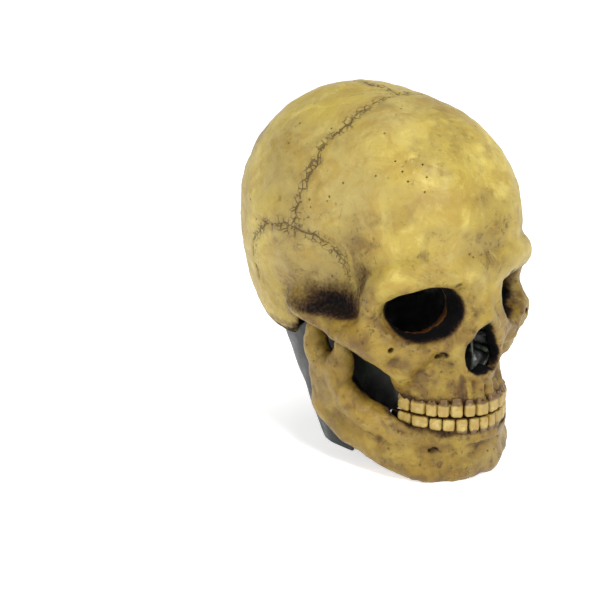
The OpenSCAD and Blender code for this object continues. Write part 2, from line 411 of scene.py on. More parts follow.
# ------------------------------------------------------------------ materials
class Nodes:
    """Short calls for building a node material."""

    def __init__(self, name):
        self.material = bpy.data.materials.new(name)
        self.material.use_nodes = True
        self.tree = self.material.node_tree
        self.tree.nodes.clear()
        self.out = self.tree.nodes.new("ShaderNodeOutputMaterial")
        self.shader = self.tree.nodes.new("ShaderNodeBsdfPrincipled")
        self.tree.links.new(self.shader.outputs[0], self.out.inputs[0])

    def new(self, kind, **settings):
        node = self.tree.nodes.new(kind)
        for key, value in settings.items():
            setattr(node, key, value)
        return node

    def put(self, socket, value):
        if isinstance(value, bpy.types.NodeSocket):
            self.tree.links.new(value, socket)
        else:
            socket.default_value = value

    def feed(self, key, value):
        self.put(self.shader.inputs[key], value)

    def attribute(self, name):
        return self.new("ShaderNodeAttribute", attribute_name=name).outputs["Fac"]

    def place(self):
        return self.new("ShaderNodeTexCoord").outputs["Object"]

    def noise(self, scale, detail=3.0, rough=0.55, warp=0.0):
        node = self.new("ShaderNodeTexNoise")
        self.put(node.inputs["Vector"], self.place())
        node.inputs["Scale"].default_value = scale
        node.inputs["Detail"].default_value = detail
        node.inputs["Roughness"].default_value = rough
        node.inputs["Distortion"].default_value = warp
        return node.outputs["Fac"]

    def cells(self, scale, feature="DISTANCE_TO_EDGE"):
        node = self.new("ShaderNodeTexVoronoi", feature=feature)
        self.put(node.inputs["Vector"], self.place())
        node.inputs["Scale"].default_value = scale
        return node.outputs["Distance"]

    def math(self, kind, a, b=0.0, clamp=False):
        node = self.new("ShaderNodeMath", operation=kind, use_clamp=clamp)
        self.put(node.inputs[0], a)
        self.put(node.inputs[1], b)
        return node.outputs[0]

    def ramp(self, value, lo, hi, out_lo=0.0, out_hi=1.0):
        node = self.new("ShaderNodeMapRange", interpolation_type="SMOOTHSTEP")
        self.put(node.inputs["Value"], value)
        for key, v in (("From Min", lo), ("From Max", hi), ("To Min", out_lo), ("To Max", out_hi)):
            node.inputs[key].default_value = v
        return node.outputs["Result"]

    def times(self, a, b, clamp=False):
        return self.math("MULTIPLY", a, b, clamp)

    def mix(self, factor, a, b):
        node = self.new("ShaderNodeMix", data_type="RGBA")
        self.put(node.inputs[0], factor)
        self.put(node.inputs[6], a if isinstance(a, bpy.types.NodeSocket) else (*a, 1.0))
        self.put(node.inputs[7], b if isinstance(b, bpy.types.NodeSocket) else (*b, 1.0))
        return node.outputs[2]

    def bump(self, height, distance, strength=1.0, under=None):
        node = self.new("ShaderNodeBump")
        node.inputs["Strength"].default_value = strength
        node.inputs["Distance"].default_value = distance
        self.put(node.inputs["Height"], height)
        if under is not None:
            self.put(node.inputs["Normal"], under)
        return node.outputs["Normal"]


def painted_latex(name):
    """Bone-yellow paint over latex, brown in the hollows, and black where it was airbrushed and where shade
    is painted under the lower face.
    """
    n = Nodes(name)
    cavity, stain = n.attribute("cavity"), n.attribute("stain")
    black, seam, inside = n.attribute("black"), n.attribute("seam"), n.attribute("inside")
    broad = n.noise(14, 4, 0.6, 0.4)
    mottle = n.noise(60, 5, 0.65, 0.6)
    speck = n.noise(420, 3, 0.6)
    base = n.mix(n.ramp(broad, 0.35, 0.68), BONE_DEEP, BONE)
    base = n.mix(n.times(n.ramp(mottle, 0.48, 0.66), 0.55), base, BONE_LIGHT)
    age = n.attribute("age")
    old = n.times(age, n.ramp(n.noise(38, 6, 0.68, 0.8), 0.42, 0.6, 1.0, 0.55), clamp=True)
    base = n.mix(old, base, OLD_BONE)
    bruise = n.times(n.ramp(n.noise(9, 3, 0.5, 0.3), 0.5, 0.62), 0.5)
    base = n.mix(bruise, base, BRUISE)
    wash = n.times(n.ramp(n.noise(30, 7, 0.7, 0.9), 0.47, 0.6), 0.5)
    base = n.mix(wash, base, OCHRE)
    brown = n.times(stain, n.ramp(mottle, 0.4, 0.6, 0.3, 0.9), clamp=True)
    base = n.mix(brown, base, BROWN)
    flecks = n.times(n.ramp(n.noise(190, 5, 0.75, 0.4), 0.54, 0.64), stain)
    base = n.mix(n.times(flecks, 0.8), base, DARK_BROWN)
    hollow = n.times(cavity, n.ramp(speck, 0.3, 0.7, 0.7, 1.0), clamp=True)
    base = n.mix(hollow, base, DARK_BROWN)
    # a fine dark line where the seam field is near zero, broken up along its length,
    # with short ticks to either side of it
    wobble = n.times(n.math("SUBTRACT", n.noise(240, 4, 0.7), 0.5), 4.2)
    apart = n.math("ABSOLUTE", n.math("ADD", seam, wobble))
    broken = n.ramp(n.noise(120, 3, 0.6), 0.45, 0.56)
    line = n.times(n.ramp(apart, 0.2, 1.0, 1.0, 0.0), broken)
    ticks = n.ramp(n.cells(210), 0.03, 0.09, 1.0, 0.0)
    ticks = n.times(ticks, n.ramp(n.math("ABSOLUTE", seam), 1.5, 8.0, 1.0, 0.0))
    ticks = n.times(ticks, n.ramp(n.noise(75, 3, 0.6, 0.4), 0.47, 0.56))
    line = n.math("MAXIMUM", line, ticks)
    halo = n.times(n.ramp(n.math("ABSOLUTE", seam), 0.0, 8.0, 0.45, 0.0), mottle)
    base = n.mix(halo, base, BROWN)
    base = n.mix(n.times(line, 0.7), base, DARK_BROWN)
    pits = n.ramp(n.cells(120, "F1"), 0.05, 0.14, 1.0, 0.0)
    pits = n.times(pits, n.ramp(n.noise(26, 2), 0.5, 0.62))
    base = n.mix(n.times(pits, 0.75), base, DARK_BROWN)
    # black: airbrushed paint, plus painted shade on the lower face's downward-facing surfaces
    edge = n.math("ADD", black, n.times(n.math("SUBTRACT", mottle, 0.5), 0.35))
    edge = n.math("ADD", edge, n.times(n.math("SUBTRACT", speck, 0.5), 0.55))
    shade = n.ramp(edge, 0.03, 0.85)
    tint = n.mix(n.ramp(edge, 0.45, 0.95), PLUM_BROWN, BLACK)
    base = n.mix(shade, base, tint)
    base = n.mix(inside, base, RAW_LATEX)
    n.feed("Base Color", base)
    rough = n.math("ADD", n.ramp(speck, 0.3, 0.7, 0.38, 0.5), n.times(shade, 0.3))
    n.feed("Roughness", rough)
    n.feed("Specular IOR Level", n.ramp(shade, 0.0, 1.0, 0.3, 0.06))
    grain = n.bump(n.noise(900, 3, 0.6), 0.0002, 0.35)
    lumps = n.bump(n.noise(110, 6, 0.62, 0.5), 0.002, 0.7, grain)
    groove = n.bump(n.times(n.math("ADD", line, pits), -1.0), 0.0009, 0.9, lumps)
    n.feed("Normal", groove)
    return n.material


def black_latex(name):
    """Black-painted latex with a grey-green sheen painted on its raised folds, a painted highlight."""
    n = Nodes(name)
    raised = n.attribute("raised")
    patch = n.ramp(n.noise(45, 5, 0.6, 0.6), 0.4, 0.72)
    base = n.mix(patch, BLACK, SLATE)
    # painted highlight: lighter slate on the raised folds stands in for the sheen of light on them
    base = n.mix(n.times(raised, n.ramp(n.noise(160, 4), 0.35, 0.6)), base, SLATE_PAINTED_SHEEN)
    n.feed("Base Color", base)
    n.feed("Roughness", n.ramp(n.noise(130, 4), 0.3, 0.7, 0.34, 0.5))
    n.feed("Specular IOR Level", 0.5)
    fine = n.bump(n.noise(700, 3), 0.0002, 0.3)
    n.feed("Normal", n.bump(n.noise(90, 5, 0.6, 0.5), 0.001, 0.5, fine))
    return n.material


def tooth_latex(name):
    n = Nodes(name)
    cavity = n.attribute("cavity")
    streaks = n.noise(260, 4, 0.6, 0.4)
    base = n.mix(n.ramp(n.noise(90, 3), 0.35, 0.7), TOOTH, TOOTH_LIGHT)
    base = n.mix(n.times(n.ramp(streaks, 0.42, 0.6), 0.75), base, OCHRE)
    # brown and black: the painted lines between the teeth, and painted shade on the inner side of each row
    paint_lines_and_shade = n.math("ADD", cavity, n.times(n.math("SUBTRACT", streaks, 0.45), 0.55))
    base = n.mix(n.ramp(paint_lines_and_shade, 0.2, 0.55), base, BROWN)
    base = n.mix(n.ramp(paint_lines_and_shade, 0.62, 0.95), base, BLACK)
    n.feed("Base Color", base)
    n.feed("Roughness", 0.42)
    n.feed("Normal", n.bump(n.noise(300, 4), 0.0004, 0.45))
    return n.material


def foam(name):
    n = Nodes(name)
    pores = n.cells(900, "F1")
    base = n.mix(n.ramp(pores, 0.15, 0.6), FOAM_DARK, FOAM)
    n.feed("Base Color", base)
    n.feed("Roughness", 0.95)
    n.feed("Specular IOR Level", 0.1)
    n.feed("Normal", n.bump(pores, 0.0008, 0.9))
    return n.material


def gauze(name):
    """Plain-woven cotton set in latex."""
    n = Nodes(name)
    waves = []
    for axis in ("X", "Z"):
        wave = n.new("ShaderNodeTexWave", bands_direction=axis)
        n.put(wave.inputs["Vector"], n.place())
        wave.inputs["Scale"].default_value = 260
        wave.inputs["Distortion"].default_value = 0.6
        waves.append(wave.outputs["Fac"])
    weave = n.times(waves[0], waves[1])
    n.feed("Base Color", n.mix(weave, (0.42, 0.36, 0.25), (0.66, 0.6, 0.47)))
    n.feed("Roughness", 0.85)
    n.feed("Normal", n.bump(weave, 0.0005, 0.8))
    return n.material


BONE = (0.47, 0.365, 0.083)
BONE_LIGHT = (0.58, 0.47, 0.13)
BONE_DEEP = (0.37, 0.275, 0.05)
BRUISE = (0.26, 0.2, 0.085)
OLD_BONE = (0.235, 0.15, 0.016)
OCHRE = (0.3, 0.185, 0.026)
BROWN = (0.115, 0.06, 0.01)
DARK_BROWN = (0.035, 0.017, 0.005)
PLUM_BROWN = (0.04, 0.018, 0.013)
BLACK = (0.004, 0.004, 0.004)
SLATE = (0.018, 0.023, 0.018)
# grey-green painted sheen for the raised folds and ridges of black latex
SLATE_PAINTED_SHEEN = (0.07, 0.085, 0.062)
RAW_LATEX = (0.06, 0.016, 0.004)
TOOTH = (0.3, 0.205, 0.047)
TOOTH_LIGHT = (0.43, 0.325, 0.1)
FOAM = (0.035, 0.035, 0.038)
FOAM_DARK = (0.008, 0.008, 0.009)

SKIN = painted_latex("bone_latex_paint")
NECK = black_latex("black_latex_paint")
TEETH = tooth_latex("tooth_paint")
FOAM_MATERIAL = foam("open_cell_foam")
GAUZE = gauze("cotton_gauze")


# ------------------------------------------------------------------ the skull's plan, mm
BRAINCASE = [((0, 22, 180), (92, 99, 95), 0), ((20, -34, 184), (50, 76, 70), 24),
             ((0, -30, 186), (66, 79, 78), 24), ((0, 52, 142), (70, 66, 52), 26),
             ((40, 38, 118), (36, 48, 40), 16)]
UPPER_JAW = [[48, -66, 41, 50], [62, -65, 42.5, 49.5], [84, -62.5, 46, 47.5], [104, -60, 50, 46],
             [150, -40, 58, 62]]
RIM = [[0, -105, 160, 9], [28, -104, 161, 9.5], [51, -92, 158, 9], [66, -73, 148, 8],
       [68, -66, 126, 8], [62, -77, 107, 12], [43, -90, 101, 10], [24, -99, 107, 8.5],
       [13, -102, 128, 7.5], [8, -104, 148, 9]]
SOCKET = [[0, -70, 170, 9], [24, -74, 170, 9.5], [44, -62, 168, 9], [52, -45, 154, 9],
          [52, -40, 128, 9], [46, -50, 108, 9], [34, -62, 102, 9], [20, -72, 108, 9],
          [10, -75, 128, 7.5], [6, -75, 150, 9]]
ARCH = [[62, -76, 107, 12], [77, -52, 115, 8], [82, -24, 121, 6.5], [77, 4, 124, 7.5]]
SHELF = [[48, -60, 112, 8], [54, -46, 120, 6], [66, -24, 122, 6], [66, 4, 124, 6]]
EYE = (40, -96, 132)
EYE_BOWL = (25, 24, 20.5)
EYE_HOLE = (22.4, 18.8)
EYE_TURN = math.radians(20)
EYE_TILT = math.radians(-9)
EYE_OUT = np.array([math.sin(EYE_TURN), -math.cos(EYE_TURN), 0])
EYE_SIDE = np.array([math.cos(EYE_TURN) * math.cos(EYE_TILT), math.sin(EYE_TURN) * math.cos(EYE_TILT),
                     math.sin(EYE_TILT)])
EYE_UP = np.cross(EYE_SIDE, EYE_OUT) * -1
EYE_AXES = np.array([EYE_SIDE, EYE_OUT, EYE_UP])
BELOW_SKULL = [[-140, 51.6], [-70, 51.6], [-66, 80], [-60, 92], [-44, 103], [-20, 110], [12, 112],
               [18, 100], [28, 89], [46, 87], [58, 92.5], [140, 92.5], [140, -20], [-140, -20]]
NOSE_HALF = [(0, 87.5), (4, 84.5), (10, 84.5), (14.5, 88), (16, 93.5), (13, 104), (7, 115.5), (0, 121)]
# temple, canine fossa and the hollow under the cheekbone
HOLLOWS = [((96, -40, 151), (27, 35, 39), 12), ((35, -107, 90), (9, 9, 13), 8),
           ((63, -98, 92), (9, 15, 12), 7)]
TEMPLE = HOLLOWS[0][:2]
FORAMINA = [((31, -102, 99), (3, 8, 2.6)), ((26, -118, 153), (2.4, 6, 1.6)),
            ((67, -88, 108), (1.6, 6, 1.6)), ((76, -62, 160), (8, 3, 2.6))]
ARCH_CENTRE_Y = -66
ARCH_R = (40, 50)
JAW_LOW = [[61, -8, 44, 8.5], [57, -32, 31, 9.5], [47, -60, 20, 10.5], [33, -84, 13, 11.5],
           [14, -97, 11, 11], [0, -99, 11, 11]]
JAW_TOP = [[63, -30, 62, 8], [58, -46, 49, 7.5], [42, -68, 37, 7], [31, -92, 36, 7.5],
           [14, -105, 36, 7.5], [0, -108, 36, 7.5]]
THROAT = [[-60.5, 60], [-60.5, -14], [-51, -46], [-43.5, -58], [-39.5, -68], [-33, -80], [-14, -90],
          [14, -90], [33, -80], [39.5, -68], [43.5, -58], [51, -46], [60.5, -14], [60.5, 60]]


# The neck's plan at each height: z, centre y, half width and half depth of its back
NECK_LEVELS = [(0, 6, 46, 40), (94, 30, 64.5, 58), (112, 30, 64.5, 58)]
NECK_CORNER = (27, -56)
NECK_CORNER_R = 13
NECK_T = 2.0
SLIT_HALF = 0.7


def neck_outline(level, inset=0.0, count=240):
    """The whole plan of the neck at one level, as a ring of points."""
    _, centre, a, b = level
    a, b, r = a - inset, b - inset, NECK_CORNER_R - inset
    ring = []
    for t in np.linspace(0, TAU, count, endpoint=False):
        c, s = math.cos(t), math.sin(t)
        reach = math.hypot(a * c, b * s)
        options = [(a * a * c / reach, centre + b * b * s / reach)]
        options += [(side * NECK_CORNER[0] + r * c, NECK_CORNER[1] + r * s) for side in (-1, 1)]
        ring.append(max(options, key=lambda q: q[0] * c + q[1] * s))
    return ring


def on_arch(angle, out=0.0):
    """A point on the dental arch at that angle from the middle, and the way it faces."""
    a, b = ARCH_R[0] + out, ARCH_R[1] + out
    s, c = math.sin(angle), math.cos(angle)
    return a * s, ARCH_CENTRE_Y - b * c, math.degrees(math.atan2(b * s, a * c))


def tooth_angles(widths):
    """Angles along the arch of tooth middles, widths counted from the midline back."""
    table = np.linspace(0, math.radians(90), 400)
    step = np.hypot(ARCH_R[0] * np.cos(table), ARCH_R[1] * np.sin(table))
    run = np.concatenate([[0], np.cumsum((step[1:] + step[:-1]) / 2 * np.diff(table))])
    edges = np.concatenate([[0], np.cumsum(widths)])
    edges = edges * (68.0 / edges[-1])
    mids = (edges[1:] + edges[:-1]) / 2
    return np.interp(mids, run, table), np.diff(edges)


UPPER_WIDTHS = [10.4, 8.6, 9.4, 8.9, 8.8, 12.2, 11.2]
LOWER_WIDTHS = [7.4, 7.9, 8.8, 9.2, 9.3, 13, 12.4]


def shell_and_body(g, shell):
    """Both halves of the hollow skin, and of the same shape still solid."""
    out = g.copy()
    out.d = shell.astype(np.float32)
    return mirrored(out), mirrored(g)


def eye_bowl():
    return ellipsoid(EYE, EYE_BOWL, EYE_AXES)


def skull_shell(step):
    g = Grid((0, -128, 40), (100, 128, 282), step)
    for centre, radii, k in BRAINCASE:
        g.add(ellipsoid(centre, radii), k)
    g.add(arch_block(UPPER_JAW), 8)
    g.wall(between(RIM, 9), between(SOCKET, 9), 9)
    inner = g.copy()
    # brow, nose, cheekbone and arch
    g.chain(between([[0, -106, 157, 8], [12, -108, 161, 8], [28, -106, 165, 8], [44, -98, 164, 7],
                     [57, -86, 159, 7]], 8), 8)
    g.chain(between([[0, -103, 150, 9], [0, -110, 135, 6.5], [0, -116.5, 122, 4]], 5), 5)
    g.chain(between([[8, -104, 146, 7], [13, -104, 128, 6.5], [19, -102, 112, 7], [25, -99, 100, 7]], 6), 7)
    arch = between(ARCH, 6)
    g.wall(arch, between(SHELF, 6), 6, radius=5)
    g.chain(arch, 6)
    # the buttress from the cheekbone down to the molars
    g.chain(between([[60, -77, 100, 9], [51, -79, 90, 7], [44, -76, 80, 5.5], [41, -72, 70, 4]], 5), 8)
    # margin of the nose opening and its spine
    g.chain(between([[4, -115, 124, 3.5], [12, -110, 115, 4], [17.5, -106, 103, 4.5],
                     [16, -107, 91, 4.5], [8, -111, 84, 4.5], [0, -113, 82, 4.5]], 4), 4)
    g.add(limb([0, -112, 80, 4], [0, -117, 84.5, 2]), 4)
    # roots of the teeth
    angles, widths = tooth_angles(UPPER_WIDTHS)
    lengths = [20, 19, 27, 20, 18, 15, 13]
    for angle, width, length in zip(angles, widths, lengths):
        x, y, _ = on_arch(angle, -0.2)
        x2, y2, _ = on_arch(angle * 0.97, -1.5)
        g.add(limb([x, y, 60, width * 0.42], [x2, y2 + 3, 62 + length, 3.2]), 2.6)
    for centre, radii, k in HOLLOWS:
        g.carve(ellipsoid(centre, radii), k)
        inner.carve(ellipsoid(centre, radii), k)
    g.carve(eye_bowl(), 5)
    nose = nose_field()
    cut = g.window((0, -130, 78), (26, -100, 128), 4)
    g.d[cut] = smooth_max(g.d[cut], -nose(g.points(cut), 0.0), 2.5)
    # foramina under the eyes, beside the brow, in the cheekbone and the temple
    for centre, radii in FORAMINA:
        g.carve(ellipsoid(centre, radii), 2)
        inner.carve(ellipsoid(centre, radii), 2)
    # the room inside
    inner.carve(eye_bowl(), 2, grow=LATEX)
    room = inner.d + LATEX
    shell = smooth_max(g.d, -room, 0.8)
    pts = g.points()
    outline = polygon_distance(BELOW_SKULL, g.axes[1][:, None], g.axes[2][None, :])
    shell = smooth_max(shell, -outline[None].astype(np.float32), 1.0)
    # the way in for the head, through the floor of the braincase
    way_in = polygon_distance(neck_outline(NECK_LEVELS[-1], NECK_T), g.axes[0][:, None],
                              g.axes[1][None, :]).astype(np.float32)
    way_in = np.maximum(way_in[:, :, None], pts[..., 2] - 126)
    shell = smooth_max(shell, -way_in, 1.0)
    # the eye hole through the bottom of the socket, and the nose hole
    q = (pts - np.array(EYE, np.float32)) @ EYE_AXES.T.astype(np.float32)
    hole = (np.sqrt(((q[..., 0] - 0.8) / EYE_HOLE[0]) ** 2 + (q[..., 2] / EYE_HOLE[1]) ** 2) - 1) * 20
    hole = np.maximum(hole, np.abs(q[..., 1]) - 42)
    shell = smooth_max(shell, -hole, 1.2)
    shell = np.maximum(shell, -np.maximum(nose(pts, 2.2), np.abs(pts[..., 1] + 105) - 14))
    return shell_and_body(g, shell)


def nose_field():
    """The pear-shaped opening, narrowing as it runs back from the face."""
    ring = NOSE_HALF + [(-x, z) for x, z in NOSE_HALF[-2:0:-1]]

    def field(p, inset):
        pear = polygon_distance(ring, p[..., 0], p[..., 2]) - 0.4
        return (pear + inset + np.maximum(p[..., 1] + 118, 0) * 0.06).astype(np.float32)
    return field


# ------------------------------------------------------------------ paint and small relief
NO_SEAM = 99.0       # mm, where no bone seam is near


def sutures(p):
    """Distance in mm to the nearest bone seam, from the textbook."""
    x, y, z = p[:, 0], p[:, 1], p[:, 2]
    zigzag = 2.6 * noise(p, 7.0, 3) + 3.4 * noise(p, 17.0, 4)
    theta = np.arctan2(np.abs(x), z - 150)
    coronal = y + 20 - 16 * np.sin(theta) ** 2 + zigzag
    coronal = np.where(z > 165, coronal, NO_SEAM)
    sagittal = np.where((y > -18) & (z > 190), x + zigzag, NO_SEAM)
    behind = 98 - 0.62 * (z - 150)
    lambdoid = np.where((y > 70) & (z > 130), (y - behind) * 0.8
                        + 0.35 * np.abs(x) - 14 + zigzag, NO_SEAM)
    r = np.hypot((y - 2) * 0.86, z - 142)
    squamous = np.where((np.abs(x) > 55) & (z > 128) & (y > -45), r - 42 + zigzag * 0.8, NO_SEAM)
    options = np.stack([coronal, sagittal, lambdoid, squamous])
    pick = np.abs(options).argmin(0)
    return options[pick, np.arange(len(p))]


def distance_to_chain(p, chain):
    best = np.full(len(p), 1e9)
    q = p.copy()
    q[:, 0] = np.abs(q[:, 0])
    for a, b in zip(chain[:-1], chain[1:]):
        a, b = np.array(a, float), np.array(b, float)
        t = np.clip(((q - a) @ (b - a)) / ((b - a) @ (b - a)), 0, 1)
        best = np.minimum(best, np.linalg.norm(q - a - t[:, None] * (b - a), axis=1))
    return best


def cavities(points, faces, rounds):
    """How far each point lies below its surroundings, mm."""
    n = normals(points, faces)
    mean = points.copy()
    for _ in range(rounds):
        mean = neighbours_mean(mean, faces)
    return ((mean - points) * n).sum(1)


def finish_skin(points, faces):
    """Hand-sculpted unevenness, pits and seams pressed into a skin."""
    points = relax(points, faces, 2, 0.5)
    n = normals(points, faces)
    seam = sutures(points)
    face = smoothstep(160, 120, points[:, 2]) * smoothstep(-10, -60, points[:, 1])
    push = (1.0 + 0.8 * face) * (noise(points, 26, 11) + 0.7 * noise(points, 11, 12))
    push += (0.3 + 0.35 * face) * noise(points, 5, 13)
    groove = -0.75 * np.exp(-(seam / 1.5) ** 2)
    crack = np.abs(noise(points, 9, 21))
    crack_zone = smoothstep(0.05, 0.3, noise(points, 34, 22))
    groove -= 0.35 * np.exp(-(crack / 0.05) ** 2) * crack_zone
    points = points + n * (push + groove)[:, None]
    return points, seam


def sculpted(grid, rounds, strength, relief):
    """A grid's surface, evened out and then pushed along its normals by relief(points)."""
    points, faces = surface(grid)
    points = relax(points, faces, rounds, strength)
    n = normals(points, faces)
    return points + n * relief(points)[:, None], faces, n


def near(points, place, far, close):
    """1 within close of a place, fading to 0 at far."""
    return smoothstep(far, close, np.linalg.norm(points - place, axis=1))


def blotches(points):
    """Broad stained patches, and thin dark creases here and there."""
    patches = smoothstep(-0.3, 0.35, noise(points, 19, 36) + 0.5 * noise(points, 7, 37))
    creases = smoothstep(0.06, 0.0, np.abs(noise(points, 13, 38)))
    return patches, creases * smoothstep(-0.1, 0.25, noise(points, 30, 39))


def skin_facts(points, faces, body):
    """Places on one half, normals, what lies inside the skin, and how sunken each point is."""
    half = np.column_stack([np.abs(points[:, 0]), points[:, 1], points[:, 2]])
    inside = smoothstep(-1.0, -1.8, sample(body, points))
    return half, normals(points, faces), inside, cavities(points, faces, 10)


def skin_paint(points, faces, body):
    """Where the skull skin is black, stained or bare inside."""
    half, n, inside, cav = skin_facts(points, faces, body)
    x, y, z = half.T
    q = (half - np.array(EYE)) @ EYE_AXES.T
    ring = np.sqrt((q[:, 0] / EYE_BOWL[0]) ** 2 + (q[:, 2] / EYE_BOWL[2]) ** 2)
    eye = smoothstep(1.16, 0.97, ring) * smoothstep(-60, -75, y) * (z > 100)
    nose_d = nose_field()(half, 0.0)
    nose = smoothstep(2.0, -0.5, nose_d) * smoothstep(-98, -101, y)
    # the airbrushed lower and front edge of the temple hollow
    blur = 0.16 * noise(points, 20, 34) + 0.10 * noise(points, 6, 35)
    floor = np.hypot((y + 34) / 42, (z - 126) / 21) + blur
    front = np.hypot((y + 60) / 14, (z - 146) / 27) + blur
    temple = np.minimum(floor, front)
    temple_black = 0.85 * np.maximum(smoothstep(1.7, 0.1, floor), 0.7 * smoothstep(1.6, 0.1, front))
    temple_black *= smoothstep(54, 64, x) * smoothstep(116, 124, z)
    temple_black *= smoothstep(84, 78, x - 0.35 * (y + 40))
    ragged = 1.6 * noise(points, 5, 31) + 1.2 * noise(points, 14, 32)
    mouth = smoothstep(69.5, 63, z + ragged) * smoothstep(-60, -66, y)
    # painted shade: black on the downward-facing surfaces of the lower face, under the cheekbones, the nose
    # and the upper jaw
    under = smoothstep(0.2, 0.9, -n[:, 2]) * smoothstep(118, 100, z) * smoothstep(-72, -60, y)
    side_edge = smoothstep(8, 0, np.abs(y + 66)) * smoothstep(96, 88, z)
    holes = [near(half, [31, -104, 99], 6, 2), near(half, [26, -114, 153], 5, 1.5) * 0.6,
             near(half, [76, -62, 158], 9, 2) * 0.9]
    # black holds the airbrushed paint and the painted shade on downward-facing surfaces
    black = np.max([eye, nose, temple_black, 0.7 * mouth, under * 0.9, side_edge] + holes, axis=0)
    low = smoothstep(168, 80, z) * smoothstep(0, -60, y)
    patches, creases = blotches(points)
    stain = 0.7 * smoothstep(-0.15, 0.8, cav) * (0.4 + 0.6 * low)
    stain += low * (0.18 + 0.6 * patches + 0.8 * creases)
    stain += 0.45 * smoothstep(2.0, 1.0, temple) * smoothstep(52, 62, x)
    stain += 0.5 * smoothstep(1.6, 1.05, ring) * smoothstep(-60, -75, y)
    stain += 0.3 * smoothstep(90, 66, z)
    stain += 0.4 * smoothstep(12, 0, nose_d) * smoothstep(-98, -101, y)
    broad = noise(points, 46, 40) + 0.4 * noise(points, 9, 42)
    stain += 0.4 * smoothstep(0.0, 0.4, broad) * (1 - 0.5 * low)
    stain += 0.4 * smoothstep(14, 0, np.abs(polygon_distance(BELOW_SKULL, y, z))) * (z > 84)
    stain += 0.5 * smoothstep(-0.25, 0.3, noise(points, 24, 43)) * smoothstep(150, 165, z) \
        * smoothstep(222, 196, z) * smoothstep(-55, -85, y)
    stain = np.clip(stain, 0, 1)
    cavity = smoothstep(0.4, 1.4, cav) * (0.6 + 0.4 * low)
    age = smoothstep(158, 112, z + 10 * noise(points, 30, 44)) * smoothstep(25, -35, y)
    age = np.maximum(age, 0.5 * smoothstep(2.4, 1.2, temple) * smoothstep(46, 62, x))
    return {"black": black * (1 - inside), "stain": stain, "cavity": cavity, "inside": inside,
            "age": age}


# ------------------------------------------------------------------ skull skin
STEP = 1.5
shell, body = skull_shell(STEP)
points, faces = surface(shell)
points, seam = finish_skin(points, faces)
paint = skin_paint(points, faces, body)
paint["seam"] = seam
skull = make_object("skull_latex", points, faces, SKIN, paint)
stand_in(skull, "skull", "skull_skin")


# ------------------------------------------------------------------ jaw skin
# the gum behind the last lower tooth
GUM_END = [[37.5, -68, 44.3, 3.8], [37.5, -60.5, 43.9, 3.8]]


def jaw_shell(step):
    g = Grid((0, -124, -2), (88, 24, 124), step)
    low, top = between(JAW_LOW, 7), between(JAW_TOP, 7)
    g.wall(low, top, 7)
    g.chain(low, 7)
    g.chain(top, 6)
    g.add(arch_block([[38, -66, 42, 51], [46, -66, 41.8, 50.8], [54, -66, 41, 50]]), 5)
    for a, b in (([70, -7, 90, 8], [61, -8, 44, 9]), ([68, -34, 84, 8], [63, -30, 62, 8.5]),
                 ([69, -14, 80, 8], [63, -14, 50, 8.5]), ([68, -24, 78, 8], [63, -24, 52, 8.5]),
                 ([72, -8, 105, 6.5], [70, -7, 90, 8]), ([70, -37, 99, 5.5], [68, -34, 84, 8])):
        g.add(limb(a, b), 8)
    inner = g.copy()
    # chin, oblique line and roots
    g.add(ellipsoid((0, -104, 14), (16, 9, 10)), 8)
    g.add(ellipsoid((13, -103, 10), (9, 8, 8)), 7)
    g.chain(between([[72, -33, 74, 4], [66, -46, 54, 4.5], [55, -64, 40, 4], [44, -84, 31, 3]], 6), 8)
    angles, widths = tooth_angles(LOWER_WIDTHS)
    for angle, width, length in zip(angles, widths, [13, 13, 18, 14, 12, 11, 10]):
        x, y, _ = on_arch(angle, -0.4)
        g.add(limb([x, y, 43, width * 0.42], [x * 0.99, y + 0.5, 42 - length, 2.6]), 2.6)
    for solid in (g, inner):
        solid.carve(ellipsoid((35, -99, 26), (2.2, 6, 2.0)), 2)
        solid.carve(ellipsoid((0, -119, 29), (21, 8, 8)), 9)
    crowns = arch_block([[42.5, -66, 44.5, 54.5], [60, -66, 46, 56]])[0](g.points())
    crowns = smooth_max(crowns, g.points()[..., 1] + 60, 6)
    band = arch_block([[30, -66, 41.8, 51.4], [54, -66, 41.2, 50.8]])
    for solid in (g, inner):
        solid.d = smooth_max(solid.d, -crowns, 3)
        solid.add(band, 1.5)
    room = inner.d + LATEX
    shell = smooth_max(g.d, -room, 0.8)
    outline = polygon_distance(THROAT, g.axes[0][:, None], g.axes[1][None, :])
    shell = smooth_max(shell, -outline[:, :, None].astype(np.float32), 1.5)
    pts = g.points()
    mouth = np.maximum(51.8 - pts[..., 2], pts[..., 1] + 62)
    shell = smooth_max(shell, -mouth, 1.0)
    shell = smooth_min(shell, limb(*GUM_END)[0](pts), 1.0)
    shell = smooth_max(shell, 0.5 - pts[..., 2], 0.5)
    return shell_and_body(g, shell)


